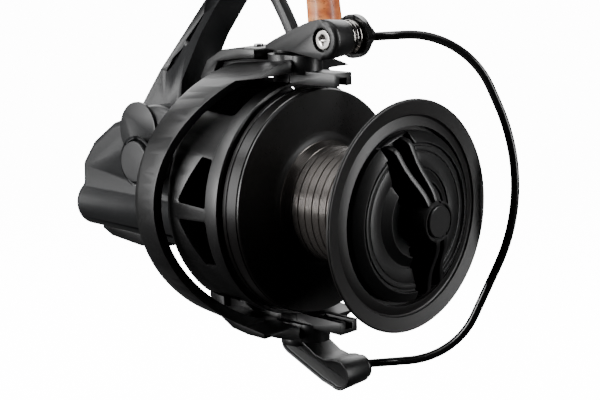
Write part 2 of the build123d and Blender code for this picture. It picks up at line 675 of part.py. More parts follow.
with BuildPart() as keyed_washers:
    for turn in range(4):
        disc(across(chamber_floor + 0.1 + 2 * turn * washer_pitch), chamber_radius - 0.6, washer_thick,
             bore=shaft_radius)
keyed_washers.part.label = "keyed_washers"
export_step(keyed_washers.part, "parts/keyed_washers.step")

stack_front = chamber_floor + 0.1 + 7 * washer_pitch
with BuildPart() as washer_ring:
    disc(across(stack_front), chamber_radius, 0.9, bore=chamber_radius - 1.2)
washer_ring.part.label = "washer_ring"
export_step(washer_ring.part, "parts/washer_ring.step")

# Drag knob
knob_radius = 28.8
knob_back = recess_floor + turn_gap
with BuildPart() as drag_knob:
    turned([(knob_back, 13.5), (knob_back, knob_radius - 0.6), (knob_back + 0.6, knob_radius),
            (80.2, knob_radius), (80.9, knob_radius - 0.7), (80.9, 26.2), (80.2, 26.0), (80.2, 23.0),
            (81.0, 22.8), (81.0, 20.4), (79.4, 20.2), (79.4, 6.0), (79.4, 3.2), (stack_front + 2.0, 3.2),
            (stack_front + 2.0, 9.0), (stack_front + 0.5, 9.0), (stack_front + 0.5, 13.5)])
    # crossbar: two wings that rise to the hub
    with BuildSketch(Plane(origin=(0, 0, axis_z), x_dir=(1, 0, 0), z_dir=(0, -1, 0))) as bar_half:
        with BuildLine():
            Polyline((79, -27.6), (81.2, -27.6), (83.5, -22), (87.5, -11), (90.4, -5), (90.4, 5), (87.5, 11),
                     (83.5, 22), (81.2, 27.6), (79, 27.6), close=True)
        make_face()
    extrude(bar_half.sketch, amount=4.6, both=True)
    disc(across(79), 6.6, 11.8)
    disc(across(70), 3.2, 21, mode=Mode.SUBTRACT)
bar_turn = 20.0
placed_knob = drag_knob.part.rotate(spool_axis, bar_turn)
placed_knob.label = "drag_knob"
export_step(placed_knob, "parts/drag_knob.step")

with BuildPart() as knob_hub_cap:
    disc(across(90.8), 5.6, 1.0)
    disc(across(89.2), 3.2 - 0.05, 1.6)
knob_hub_cap.part.label = "knob_hub_cap"
export_step(knob_hub_cap.part, "parts/knob_hub_cap.step")

with BuildPart() as drag_nut:
    disc(across(stack_front + 2.4), 3.2, 12, bore=shaft_radius + hub_bore_gap)
drag_nut.part.label = "drag_nut"
export_step(drag_nut.part, "parts/drag_nut.step")

# Handle
crank_thick = 4.6
axle_radius = 2.0
with BuildPart() as handle_shank:
    with BuildSketch(facing(20.4, handle_x, handle_rise)) as collar:
        Circle(7.2)
    extrude(collar.sketch, amount=5)
    with BuildSketch(facing(25.4, handle_x, handle_rise)) as thick_end:
        Circle(5.6)
    with BuildSketch(facing(crank_y - 4, handle_x, handle_rise)) as thin_end:
        Circle(4.4)
    loft([thick_end.sketch, thin_end.sketch])
    disc(facing(crank_y - 4, handle_x, handle_rise), 5.4, 4)
    disc(facing(20, handle_x, handle_rise), drive_shaft_radius, 2.0, mode=Mode.SUBTRACT)
handle_shank.part.label = "handle_shank"
export_step(handle_shank.part, "parts/handle_shank.step")

crank_end = (handle_x - crank_drop, handle_rise + crank_rise)
with BuildPart() as crank_arm:
    disc(facing(crank_y, handle_x, handle_rise), 6.2, crank_thick)
    disc(facing(crank_y, *crank_end), 5.0, crank_thick)
    with BuildSketch(Plane(origin=(0, crank_y + crank_thick, axis_z), x_dir=(1, 0, 0),
                           z_dir=(0, -1, 0))) as arm_face:
        with BuildLine() as arm_line:
            ThreePointArc((handle_x, handle_rise), (handle_x - 12, handle_rise + 36), crank_end)
        trace(arm_line.line, line_width=4.6)
    extrude(arm_face.sketch, amount=crank_thick)
    disc(facing(crank_y + crank_thick - 3, *crank_end), axle_radius, 3, mode=Mode.SUBTRACT)
crank_arm.part.label = "crank_arm"
export_step(crank_arm.part, "parts/crank_arm.step")

with BuildPart() as crank_screw:
    disc(facing(crank_y + crank_thick, handle_x, handle_rise), 4.0, 1.6)
crank_screw.part.label = "crank_screw"
export_step(crank_screw.part, "parts/crank_screw.step")

stem_start = crank_y + crank_thick + turn_gap
with BuildPart() as knob_axle:
    disc(facing(crank_y + crank_thick - 3, *crank_end), axle_radius, bar_y - crank_y - crank_thick + 3)
knob_axle.part.label = "knob_axle"
export_step(knob_axle.part, "parts/knob_axle.step")

bar_half_length = 23.0
bar_radius = 7.6
bar_lean = 9.0
with BuildPart() as knob_stem:
    with BuildSketch(facing(stem_start, *crank_end)) as stem_wide:
        Circle(6.0)
    with BuildSketch(facing(stem_start + 8, *crank_end)) as stem_slim:
        Circle(4.6)
    with BuildSketch(facing(bar_y - 4, *crank_end)) as stem_bar:
        Circle(5.6)
    loft([stem_wide.sketch, stem_slim.sketch, stem_bar.sketch])
    disc(facing(stem_start - 1, *crank_end), axle_radius + hub_bore_gap, 60, mode=Mode.SUBTRACT)
knob_stem.part.label = "knob_stem"
export_step(knob_stem.part, "parts/knob_stem.step")

bar_plane = Plane(origin=(crank_end[0], bar_y, axis_z + crank_end[1]),
                  x_dir=(cos(radians(bar_lean)), 0, sin(radians(bar_lean))),
                  z_dir=(-sin(radians(bar_lean)), 0, cos(radians(bar_lean))))
with BuildPart() as knob_bar:
    with BuildSketch(Plane(origin=bar_plane.origin, x_dir=bar_plane.x_dir,
                           z_dir=(0, -1, 0))) as bar_profile:
        with BuildLine():
            Polyline((0, -bar_half_length), (bar_radius - 1.2, -bar_half_length),
                     (bar_radius, -bar_half_length + 1.2), (bar_radius - 0.6, 0),
                     (bar_radius, bar_half_length - 1.2), (bar_radius - 1.2, bar_half_length),
                     (0, bar_half_length), close=True)
        make_face()
    revolve(bar_profile.sketch, axis=Axis(bar_plane.origin, bar_plane.z_dir))
    add(knob_stem.part, mode=Mode.SUBTRACT)
    disc(facing(bar_y - 10, *crank_end), axle_radius + hub_bore_gap, 10.3, mode=Mode.SUBTRACT)
knob_bar.part.label = "knob_bar"
export_step(knob_bar.part, "parts/knob_bar.step")
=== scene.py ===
import json
import math
import bpy
from mathutils import Matrix, Vector

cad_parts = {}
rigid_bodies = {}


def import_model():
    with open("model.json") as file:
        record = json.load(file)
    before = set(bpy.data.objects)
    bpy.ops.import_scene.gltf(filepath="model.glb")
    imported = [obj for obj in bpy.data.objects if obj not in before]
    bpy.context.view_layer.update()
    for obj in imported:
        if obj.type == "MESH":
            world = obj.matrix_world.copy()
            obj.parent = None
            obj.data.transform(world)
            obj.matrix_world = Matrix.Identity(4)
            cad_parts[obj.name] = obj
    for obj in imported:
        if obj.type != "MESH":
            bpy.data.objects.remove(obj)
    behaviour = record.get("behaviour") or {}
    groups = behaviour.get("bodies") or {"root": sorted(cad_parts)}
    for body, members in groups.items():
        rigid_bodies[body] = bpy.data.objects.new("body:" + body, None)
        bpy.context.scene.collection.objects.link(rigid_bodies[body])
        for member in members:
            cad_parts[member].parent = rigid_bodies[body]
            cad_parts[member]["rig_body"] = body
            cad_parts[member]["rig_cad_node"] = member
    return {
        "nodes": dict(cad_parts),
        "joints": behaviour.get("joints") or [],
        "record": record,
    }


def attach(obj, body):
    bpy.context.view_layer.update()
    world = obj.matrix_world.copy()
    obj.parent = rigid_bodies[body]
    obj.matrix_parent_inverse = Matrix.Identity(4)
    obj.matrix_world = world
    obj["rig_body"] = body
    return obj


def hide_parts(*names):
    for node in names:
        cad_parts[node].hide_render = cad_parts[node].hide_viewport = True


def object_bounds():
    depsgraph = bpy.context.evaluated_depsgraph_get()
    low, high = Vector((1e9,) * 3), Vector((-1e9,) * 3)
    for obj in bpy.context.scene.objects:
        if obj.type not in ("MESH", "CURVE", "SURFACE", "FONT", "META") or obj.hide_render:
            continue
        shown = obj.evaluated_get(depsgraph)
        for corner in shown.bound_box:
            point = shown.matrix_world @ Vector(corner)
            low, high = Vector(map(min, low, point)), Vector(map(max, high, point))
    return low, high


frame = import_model()
cadLow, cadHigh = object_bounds()
nodes = frame["nodes"]
joints = {j["name"]: j for j in frame["joints"]}
print("frame loaded:", len(nodes), "CAD nodes")

mm = 0.001
axisHeight = joints["rotor_spin"]["pos_m"][2]   # the spool axis, which runs along X
axisMm = axisHeight / mm
shownBy = {n: body for body, names in frame["record"]["behaviour"]["bodies"].items() for n in names}
slotOf = {s["node"]: s["material_slot"] for s in frame["record"]["subparts"]}

view = {"azimuth": 45.12, "elevation": 9.49, "roll": 0.70, "place": (0.3973, -0.3692, 0.0085), "lens": 90}
studio = {"floorDrop": 0.16, "floorSize": 60.0, "floorGlow": 14.0, "backGlow": 1.8, "frontGlow": 0.06}


def unit(azimuth, elevation):
    a, e = math.radians(azimuth), math.radians(elevation)
    return Vector((math.sin(a) * math.cos(e), -math.cos(a) * math.cos(e), math.sin(e)))


def makeCamera():
    back = unit(view["azimuth"], view["elevation"])
    level = Vector((math.cos(math.radians(view["azimuth"])), math.sin(math.radians(view["azimuth"])), 0))
    upward = back.cross(level)
    roll = math.radians(view["roll"])
    across = level * math.cos(roll) + upward * math.sin(roll)
    upward = upward * math.cos(roll) - level * math.sin(roll)
    data = bpy.data.cameras.new("camera")
    data.lens = view["lens"]
    data.sensor_width = 36
    camera = bpy.data.objects.new("camera", data)
    bpy.context.scene.collection.objects.link(camera)
    turn = [[across[i], upward[i], back[i]] for i in range(3)]
    camera.matrix_world = Matrix.Translation(view["place"]) @ Matrix(turn).to_4x4()
    camera.data.clip_start, camera.data.clip_end = 0.01, 50
    bpy.context.scene.camera = camera


softBoxes = [  # azimuth, elevation, distance, width, height, watts
    (-22, 5, 0.9, 0.22, 0.36, 6.5),   # strip that draws the line along the arbor
    (-26, 36, 0.9, 0.3, 0.4, 2.5),
    (-45, 6, 0.9, 0.5, 0.5, 2.6),     # fill for the faces turned to the left
    (-42, 48, 0.9, 0.5, 0.5, 4.5),
    (10, 80, 0.9, 0.7, 0.5, 2.2),
    (113, 18, 0.9, 0.22, 0.9, 8),     # strip that lights the lip and knob edges
    (225, 35, 1.0, 1.2, 0.8, 12),
]


def makeLights():
    aim = Vector((0.02, 0, axisHeight))
    for azimuth, elevation, distance, width, height, watts in softBoxes:
        data = bpy.data.lights.new("softBox", "AREA")
        data.shape = "RECTANGLE"
        data.size, data.size_y, data.energy = width, height, watts
        box = bpy.data.objects.new("softBox", data)
        bpy.context.scene.collection.objects.link(box)
        box.location = aim + unit(azimuth, elevation) * distance
        box.rotation_euler = (aim - box.location).to_track_quat("-Z", "Y").to_euler()
    world = bpy.data.worlds.new("studio")
    bpy.context.scene.world = world
    world.use_nodes = True
    tree = world.node_tree
    backdrop = tree.nodes["Background"]
    # bright behind the object, dim on the side that it is seen from
    place = tree.nodes.new("ShaderNodeTexCoord")
    facing = tree.nodes.new("ShaderNodeVectorMath")
    facing.operation = "DOT_PRODUCT"
    facing.inputs[1].default_value = unit(view["azimuth"], 0) * -1
    ramp = tree.nodes.new("ShaderNodeMapRange")
    ramp.interpolation_type = "SMOOTHSTEP"
    ramp.inputs["From Min"].default_value = 0.05
    ramp.inputs["From Max"].default_value = 0.9
    ramp.inputs["To Min"].default_value = studio["frontGlow"]
    ramp.inputs["To Max"].default_value = studio["backGlow"]
    tree.links.new(place.outputs["Generated"], facing.inputs[0])
    tree.links.new(facing.outputs["Value"], ramp.inputs["Value"])
    tree.links.new(ramp.outputs["Result"], backdrop.inputs["Strength"])


class Wire:
    def __init__(self, finish, socket):
        self.finish, self.socket = finish, socket

    def __add__(self, other):
        return self.finish.sum("ADD", self, other)

    def __radd__(self, other):
        return self.finish.sum("ADD", other, self)

    def __sub__(self, other):
        return self.finish.sum("SUBTRACT", self, other)

    def __mul__(self, other):
        return self.finish.sum("MULTIPLY", self, other)

    def __pow__(self, other):
        return self.finish.sum("POWER", self, other)

    def __gt__(self, other):
        return self.finish.sum("GREATER_THAN", self, other)

    def __lt__(self, other):
        return self.finish.sum("LESS_THAN", self, other)


class Finish:
    def __init__(self, name, **constants):
        self.material = bpy.data.materials.new(name)
        self.material.use_nodes = True
        self.tree = self.material.node_tree
        self.shader = self.tree.nodes["Principled BSDF"]
        for key, value in constants.items():
            socket = self.shader.inputs[key.replace("_", " ")]
            socket.default_value = (*value, 1) if isinstance(value, tuple) else value
        place = self.tree.nodes.new("ShaderNodeTexCoord")
        self.place = Wire(self, place.outputs["Object"])
        split = self.tree.nodes.new("ShaderNodeSeparateXYZ")
        self.tree.links.new(place.outputs["Object"], split.inputs[0])
        self.x, self.y, self.z = (Wire(self, s) for s in split.outputs)

    def feed(self, socket, value):
        if isinstance(value, Wire):
            self.tree.links.new(value.socket, socket)
        else:
            socket.default_value = value

    def node(self, kind, settings=None, values=None, out=0):
        made = self.tree.nodes.new(kind)
        for key, value in (settings or {}).items():
            if key == "stops":
                stops = made.color_ramp.elements
                while len(stops) < len(value):
                    stops.new(0.5)
                for stop, (place, colour) in zip(stops, value):
                    stop.position, stop.color = place, (*colour, 1)
            else:
                setattr(made, key, value)
        for key, value in (values or {}).items():
            self.feed(made.inputs[key], value)
        return Wire(self, made.outputs[out])

    def sum(self, operation, first, second=0.0):
        return self.node("ShaderNodeMath", {"operation": operation}, {0: first, 1: second})

    def smooth(self, value, low, high):
        return self.node("ShaderNodeMapRange", {"interpolation_type": "SMOOTHSTEP"},
                         {"Value": value, "From Min": low, "From Max": high})

    def radius(self):
        # distance from the spool axis
        up = self.z - axisHeight
        return (self.y ** 2 + up * up) ** 0.5

    def noise(self, scale, detail=3.0, rough=0.55, place=None):
        return self.node("ShaderNodeTexNoise", {}, {"Vector": place or self.place, "Scale": scale,
                                                     "Detail": detail, "Roughness": rough})

    def bump(self, height, strength, distance=0.0002):
        normal = self.node("ShaderNodeBump", {},
                           {"Height": height, "Strength": strength, "Distance": distance})
        self.feed(self.shader.inputs["Normal"], normal)

    def blend(self, share, first, second):
        return self.node("ShaderNodeMix", {"data_type": "RGBA"},
                         {0: share, 6: (*first, 1) if isinstance(first, tuple) else first,
                          7: (*second, 1) if isinstance(second, tuple) else second}, out=2)

    def set(self, **values):
        for key, value in values.items():
            self.feed(self.shader.inputs[key.replace("_", " ")], value)


paintTones = {  # base colour, roughness, grain strength, grain size in metres
    "body_paint": ((0.009, 0.0094, 0.0101), 0.40, 0.10, 0.00035),
    "rotor_paint": ((0.004, 0.004, 0.0042), 0.37, 0.16, 0.00050),
    "black_plastic": ((0.004, 0.004, 0.0042), 0.34, 0.07, 0.00030),
    "bail_gloss": ((0.004, 0.004, 0.0042), 0.22, 0.02, 0.00060),
}
metalTones = {
    "steel": ((0.42, 0.42, 0.43), 0.30),
    "chrome": ((0.46, 0.44, 0.42), 0.16),
    "brass": ((0.62, 0.45, 0.20), 0.30),
    "gear_alloy": ((0.42, 0.42, 0.44), 0.42),
}


def satinPaint(name, colour, roughness, grain, grainSize):
    f = Finish(name, Specular_IOR_Level=0.5)
    fine = f.noise(1 / grainSize, 2.0)
    broad = f.noise(60, 4.0)
    speck = f.smooth(fine, 0.52, 0.72)
    lighter = tuple(c * 1.9 + 0.004 for c in colour)
    f.set(Base_Color=f.blend(speck * 0.55, colour, lighter),
          Roughness=roughness - 0.05 + broad * 0.12 + speck * 0.06)
    f.bump(fine, grain, 0.00012)
    return f.material


def turnedMetal(name, colour, roughness):
    f = Finish(name, Metallic=1.0)
    streak = f.noise(900, 2.0)
    broad = f.noise(80, 3.0)
    darker = tuple(c * 0.72 for c in colour)
    f.set(Base_Color=f.blend(broad, darker, colour), Roughness=roughness + streak * 0.10 - 0.04)
    f.bump(streak, 0.05, 0.0001)
    return f.material


spoolMarks = {  # in metres: where the bright arbor and the glossy flange begin and end
    "arborRadius": 0.0232, "arborBack": 0.0385, "flangeRadius": 0.0245, "flangeFront": 0.0382,
    "ringTurns": 26000, "arborTurns": 11000,   # radians of tool mark in each metre
}


def anodised():
    m = spoolMarks
    f = Finish("spool_anodised", Metallic=0.0)
    radius = f.radius()
    arbor = (radius < m["arborRadius"]) * (f.x > m["arborBack"])
    flange = (radius > m["flangeRadius"]) * (f.x < m["flangeFront"])
    rings = f.node("ShaderNodeMath", {"operation": "SINE"}, {0: radius * m["ringTurns"]})
    fine = f.noise(2600, 2.0)
    broad = f.noise(45, 3.0)
    tint = f.blend(broad, (0.0035, 0.003, 0.003), (0.006, 0.0055, 0.0055))
    f.set(Base_Color=f.blend(arbor, tint, (0.115, 0.105, 0.098)), Metallic=arbor * 0.6,
          Roughness=0.36 + fine * 0.10 - arbor * 0.20 - flange * 0.14 + broad * 0.05)
    turns = f.node("ShaderNodeMath", {"operation": "SINE"}, {0: f.x * m["arborTurns"]})
    f.bump(arbor * turns * 0.34 + rings * 0.012 + fine * 0.03, 1.0, 0.0001)
    return f.material


def felt():
    f = Finish("felt", Roughness=0.95)
    fibre = f.noise(2200, 4.0)
    f.set(Base_Color=f.blend(fibre, (0.10, 0.10, 0.09), (0.30, 0.28, 0.25)))
    f.bump(fibre, 0.5, 0.0003)
    return f.material


woodTones = [(0.28, (0.34, 0.075, 0.026)), (0.44, (0.66, 0.17, 0.050)),
             (0.56, (0.86, 0.29, 0.090)), (0.72, (0.95, 0.46, 0.17))]


def oiledWood():
    # the grain runs along the bar, which lies along X
    f = Finish("wood", Coat_Weight=0.35, Coat_Roughness=0.22)
    grainPlace = f.node("ShaderNodeMapping", {}, {"Vector": f.place, "Scale": (14, 150, 150)})
    veinPlace = f.node("ShaderNodeMapping", {}, {"Vector": f.place, "Scale": (30, 620, 620)})
    wander = f.noise(1.0, 5.0, place=grainPlace)
    vein = f.noise(1.0, 3.0, 0.7, place=veinPlace)
    tone = f.node("ShaderNodeValToRGB", {"stops": woodTones}, {"Fac": wander})
    dark = f.smooth(vein, 0.56, 0.74)
    f.set(Base_Color=f.blend(dark * 0.7, tone, (0.11, 0.028, 0.016)), Roughness=0.42 + vein * 0.14)
    f.bump(vein, 0.12, 0.0002)
    return f.material


finishes = {name: satinPaint(name, *tone) for name, tone in paintTones.items()}
finishes.update({name: turnedMetal(name, *tone) for name, tone in metalTones.items()})
finishes.update({"spool_anodised": anodised(), "felt": felt(), "wood": oiledWood()})


def paleFloor():
    f = Finish("pale_floor", Roughness=0.9, Emission_Color=(1.0, 1.0, 1.0),
               Emission_Strength=studio["floorGlow"])
    tone = f.noise(3, 2.0)
    f.set(Base_Color=f.blend(tone, (0.93, 0.93, 0.93), (0.96, 0.96, 0.96)))
    return f.material


def makeFloor():
    bpy.ops.object.select_all(action="DESELECT")
    level = cadLow.z - studio["floorDrop"]
    bpy.ops.mesh.primitive_plane_add(size=studio["floorSize"], location=(0, 0, level))
    floor = bpy.context.active_object
    floor.name = "floor"
    floor.data.materials.append(paleFloor())
    # its glow reaches the camera, not the dark paint
    floor.visible_glossy = False
    floor.visible_diffuse = False


makeCamera()
makeLights()
makeFloor()
print("studio ready")


def pick(piece):
    bpy.ops.object.select_all(action="DESELECT")
    piece.select_set(True)
    bpy.context.view_layer.objects.active = piece


def edit(piece):
    pick(piece)
    bpy.ops.object.mode_set(mode="EDIT")
    bpy.ops.mesh.select_all(action="SELECT")


def leaveEdit():
    bpy.ops.object.mode_set(mode="OBJECT")


def drawLine(name, points):
    # a chain of edges, grown from a plane that is merged to one point
    bpy.ops.object.select_all(action="DESELECT")
    bpy.ops.mesh.primitive_plane_add(size=mm, location=points[0])
    piece = bpy.context.active_object
    piece.name = name
    edit(piece)
    bpy.ops.mesh.merge(type="CENTER")
    for start, end in zip(points, points[1:]):
        step = Vector(end) - Vector(start)
        bpy.ops.mesh.extrude_region_move(TRANSFORM_OT_translate={"value": step})
    leaveEdit()
    return piece


def settle(piece):
    # the object goes to the origin and its place into the mesh
    pick(piece)
    bpy.ops.object.transform_apply(location=True, rotation=True, scale=True)


def roundEdges(piece, width, steps=2, angle=28):
    pick(piece)
    bevel = piece.modifiers.new("bevel", "BEVEL")
    bevel.width, bevel.segments, bevel.limit_method = width, steps, "ANGLE"
    bevel.angle_limit, bevel.harden_normals = math.radians(angle), False
    bpy.ops.object.modifier_apply(modifier="bevel")


def lathe(name, profile, steps):
    # profile points are X and radius in mm, round the spool axis
    points = [(x * mm, 0, axisHeight + r * mm) for x, r in profile]
    piece = drawLine(name, points + points[:1])
    settle(piece)
    edit(piece)
    bpy.ops.mesh.remove_doubles(threshold=1e-7)
    bpy.ops.mesh.select_all(action="SELECT")
    bpy.ops.mesh.spin(steps=steps, angle=2 * math.pi, center=(0, 0, axisHeight), axis=(1, 0, 0))
    bpy.ops.mesh.select_all(action="SELECT")
    bpy.ops.mesh.remove_doubles(threshold=2e-6)
    bpy.ops.mesh.normals_make_consistent(inside=False)
    leaveEdit()
    return piece


def smoothShade(piece, angle):
    pick(piece)
    bpy.ops.object.shade_smooth_by_angle(angle=math.radians(angle))


def place(piece, node, finish=None):
    # the piece stands for the CAD node, on its body and in its slot
    piece.data.materials.clear()
    piece.data.materials.append(finish or finishes[slotOf[node]])
    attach(piece, shownBy[node])
    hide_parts(node)


def castCopy(node, width, finish=None):
    # a copy of the CAD shape, welded and with its edges rounded; width 0 leaves the edges as they are
    pick(nodes[node])
    piece = nodes[node].copy()
    piece.data = nodes[node].data.copy()
    piece.parent = None
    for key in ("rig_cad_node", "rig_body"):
        if key in piece:
            del piece[key]
    bpy.context.scene.collection.objects.link(piece)
    piece.name = node + "_cast"
    edit(piece)
    bpy.ops.mesh.remove_doubles(threshold=2e-6)
    if width:
        bpy.ops.mesh.dissolve_limited(angle_limit=math.radians(1.0))
    leaveEdit()
    if width:
        roundEdges(piece, width, angle=30)
    smoothShade(piece, 40)
    place(piece, node, finish)
    return piece


spoolShape = {  # in mm; X of the faces and radius of the turned surfaces
    "skirtBack": 29.3, "skirt": 39.5, "flange": 37.5, "lip": 78.0, "rim": 39.0, "bore": 2.48, "hollow": 17.6,
    "arborStart": 40.2, "arborEnd": 69, "arborBack": 20.6, "arborFront": 19.6,
    "grooves": 9, "grooveStart": 5.5, "groovePitch": 3.1, "grooveDepth": 0.45,
}


def makeSpool():
    s = spoolShape
    profile = [(s["skirtBack"], s["skirt"] - 1.3), (s["skirtBack"], s["skirt"] - 0.3),
               (s["skirtBack"] + 0.3, s["skirt"]), (31.0, s["skirt"]), (31.2, 39.15), (31.6, 39.15),
               (31.8, s["skirt"]), (35.9, s["skirt"]), (36.1, 39.1), (36.5, 39.1),
               (36.7, s["skirt"] - 0.05), (37.1, s["skirt"] - 0.15), (s["flange"], s["rim"]),
               (s["flange"], s["arborBack"] + 3.0), (37.9, s["arborBack"] + 1.8),
               (38.7, s["arborBack"] + 0.7), (s["arborStart"], s["arborBack"])]
    for turn in range(s["grooves"]):
        x = s["flange"] + s["grooveStart"] + turn * s["groovePitch"]
        share = (x - s["arborStart"]) / (s["arborEnd"] - s["arborStart"])
        r = s["arborBack"] + (s["arborFront"] - s["arborBack"]) * share
        bottom = r - s["grooveDepth"]
        profile += [(x - 0.28, r), (x - 0.1, bottom), (x + 0.1, bottom), (x + 0.28, r)]
    profile += [(69.5, s["arborFront"]), (71.2, s["arborFront"] + 0.9), (72.8, s["arborFront"] + 2.6),
                (76.2, s["rim"] - 2.0), (77.0, s["rim"] - 0.5), (77.3, s["rim"] - 0.1), (77.7, s["rim"]),
                (s["lip"], s["rim"]), (78.3, s["rim"] - 0.25), (78.4, s["rim"] - 0.6), (77.5, 33.9),
                (76.8, 33.6), (76.6, 33.2), (77.8, 30.5), (77.8, 30.1), (75.4, 30.0), (75.4, 16.4),
                (58.0, 16.4), (58.0, s["bore"]), (44.5, s["bore"]), (44.5, 8.0), (55, 8.0),
                (55, s["hollow"]), (35.3, s["hollow"]), (35.3, 37.3), (30.8, 38.2)]
    piece = lathe("spool_turned", profile, steps=160)
    smoothShade(piece, 24)
    place(piece, "spool")


makeSpool()
print("spool made")

knobShape = {  # in mm; X of the faces, radius or half width of the rest, and turns in degrees
    "turn": 20.0, "back": 75.8, "radius": 28.6, "floor": 77.0, "bore": 3.3,
    "channel": 6.9, "channelStart": 7.9, "channelEnd": 27.9, "channelDepth": 9,
    "ridgeBack": 76.6, "ridgeWidth": 2.3, "ridgeOffset": 1.75, "ridgeLean": 5.2, "ridgeFoot": 6.2,
    "hub": 6.9, "hubTop": 90.6, "rimDepth": 0.7,
    "notch": 2.6, "notchStart": 5.2, "notchEnd": 8, "notchDepth": 0.5,
}
knobRise = [(27.3, 79.4), (26.6, 81.4), (25.0, 82.6), (22.5, 83.3), (19.5, 84.2), (16.5, 85.6), (13.5, 87.4),
            (10.5, 89.0), (7.5, 89.9), (5.9, 90.0)]   # distance from the axis and X of each ridge's top


def cutWith(piece, cutter):
    pick(piece)
    cut = piece.modifiers.new("cut", "BOOLEAN")
    cut.operation, cut.solver, cut.object = "DIFFERENCE", "EXACT", cutter
    bpy.ops.object.modifier_apply(modifier="cut")
    bpy.data.objects.remove(cutter)


def plate(name, outline, step):
    # a closed outline, filled and drawn out by a step in mm
    piece = drawLine(name, [tuple(c * mm for c in point) for point in outline + outline[:1]])
    settle(piece)
    edit(piece)
    bpy.ops.mesh.remove_doubles(threshold=1e-6)
    bpy.ops.mesh.select_all(action="SELECT")
    bpy.ops.mesh.edge_face_add()
    bpy.ops.mesh.select_all(action="SELECT")
    bpy.ops.mesh.extrude_region_move(TRANSFORM_OT_translate={"value": Vector(step) * mm})
    bpy.ops.mesh.select_all(action="SELECT")
    bpy.ops.mesh.normals_make_consistent(inside=False)
    leaveEdit()
    return piece


def radialBox(name, x, half, near, far, depth):
    # a box on the face at X, half a width to each side, from near to far above the axis
    corners = [(x, half, axisMm + near), (x, -half, axisMm + near),
               (x, -half, axisMm + far), (x, half, axisMm + far)]
    return plate(name, corners, (depth, 0, 0))


def turnAbout(piece, point, degrees):
    # turns the piece about a line through the point that runs along X
    turn = Matrix.Rotation(math.radians(degrees), 4, "X")
    turn = Matrix.Translation(point) @ turn @ Matrix.Translation(-point)
    piece.matrix_world = turn @ piece.matrix_world
    settle(piece)


def spinAboutAxis(piece, degrees):
    settle(piece)
    turnAbout(piece, Vector((0, 0, axisHeight)), degrees)


def makeKnobDish():
    k = knobShape
    profile = [(k["back"], 13.5), (k["back"], 28.2), (76.2, k["radius"]), (78.5, k["radius"]),
               (78.9, 28.3), (80.9, 25.3), (80.9, 24.9), (79.9, 24.7), (79.9, 23.9), (80.5, 23.7),
               (80.5, 22.3), (80.1, 22.2), (80.1, 21.8), (80.4, 21.7), (80.4, 16.9), (79.8, 16.8),
               (79.8, 16.3), (82.0, 13.3), (82.0, 12.9), (81.2, 12.7), (81.2, 9.7), (80.7, 9.6),
               (80.7, 8.6), (k["floor"], 8.4), (k["floor"], k["bore"]), (68.5, k["bore"]),
               (68.5, 9.0), (67.0, 9.0), (67.0, 13.5)]
    dish = lathe("knob_dish", profile, steps=144)
    for side in (1, -1):
        near, far = side * k["channelStart"], side * k["channelEnd"]
        cutWith(dish, radialBox("slot", k["floor"], k["channel"], near, far, k["channelDepth"]))
    spinAboutAxis(dish, k["turn"])
    roundEdges(dish, 0.16 * mm, 2, 24)
    smoothShade(dish, 28)
    place(dish, "drag_knob")


def makeKnobRidges():
    # each wing is two ridges that meet at the hub, with a deep slot between them
    k = knobShape
    for wing in (0, 180):
        for side in (1, -1):
            outline = [(k["ridgeBack"], 0, axisMm + knobRise[0][0])]
            outline += [(x, 0, axisMm + r) for r, x in knobRise]
            outline += [(k["ridgeBack"], 0, axisMm + k["ridgeFoot"] - 0.3)]
            ridge = plate("knob_ridge", outline, (0, k["ridgeWidth"], 0))
            ridge.location = (0, side * k["ridgeOffset"] * mm - k["ridgeWidth"] / 2 * mm, 0)
            settle(ridge)
            foot = Vector((0, side * k["ridgeOffset"], axisMm + k["ridgeFoot"])) * mm
            turnAbout(ridge, foot, -side * k["ridgeLean"])
            spinAboutAxis(ridge, k["turn"] + wing)
            roundEdges(ridge, 0.45 * mm, 3, 30)
            smoothShade(ridge, 35)
            place(ridge, "drag_knob")


def makeKnobHub():
    k = knobShape
    top = k["hubTop"]
    rim = top - k["rimDepth"]
    profile = [(76.7, k["bore"]), (76.7, k["hub"]), (top - 0.3, k["hub"]), (top, k["hub"] - 0.3),
               (top, k["hub"] - 0.75), (rim, k["hub"] - 0.95), (rim, k["bore"])]
    hub = lathe("knob_hub", profile, steps=72)
    for side in (1, -1):
        near, far = side * k["notchStart"], side * k["notchEnd"]
        cutWith(hub, radialBox("notch", top - k["notchDepth"], k["notch"], near, far, 3))
    spinAboutAxis(hub, k["turn"])
    smoothShade(hub, 30)
    place(hub, "drag_knob")
    profile = [(89.3, 3.1), (89.3, 0.01), (91.0, 0.01), (91.0, 5.0), (90.8, 5.3), (90.0, 5.4), (90.0, 3.1)]
    cap = lathe("knob_cap", profile, steps=72)
    smoothShade(cap, 30)
    place(cap, "knob_hub_cap")


makeKnobDish()
makeKnobRidges()
makeKnobHub()
print("drag knob made")

leverShape = {  # in mm: X of the pivot and barrel, height of the foot above the axis; turn in degrees
    "turn": 3.4, "pivotX": 23.5, "barrelX": 45.3, "foot": 51.36, "edge": 0.45, "bossRadius": 5.7,
}
# in mm: Y of the two faces, height and radius of the barrel, then what is cut from them
rollerLever = {"front": -5.8, "back": 3.5, "barrel": 57.0, "radius": 7.0, "taper": 0.87, "boss": 1.9,
               "domeStart": 44.5, "dome": 2.0, "holeX": 45.0, "hole": 4.1, "holeDepth": 1.9}
plainLever = {"front": -3.0, "back": 9.0, "barrel": 61.2, "radius": 5.6, "taper": 0.9, "boss": 2.6,
              "rim": 1.0, "slope": 0.25, "sunk": 0.7}


def arc(x, height, radius, start, end, steps):
    # points round a barrel, by angle in degrees from +X
    turns = [math.radians(start + (end - start) * i / steps) for i in range(steps + 1)]
    return [(x + radius * math.cos(t), height + radius * math.sin(t)) for t in turns]


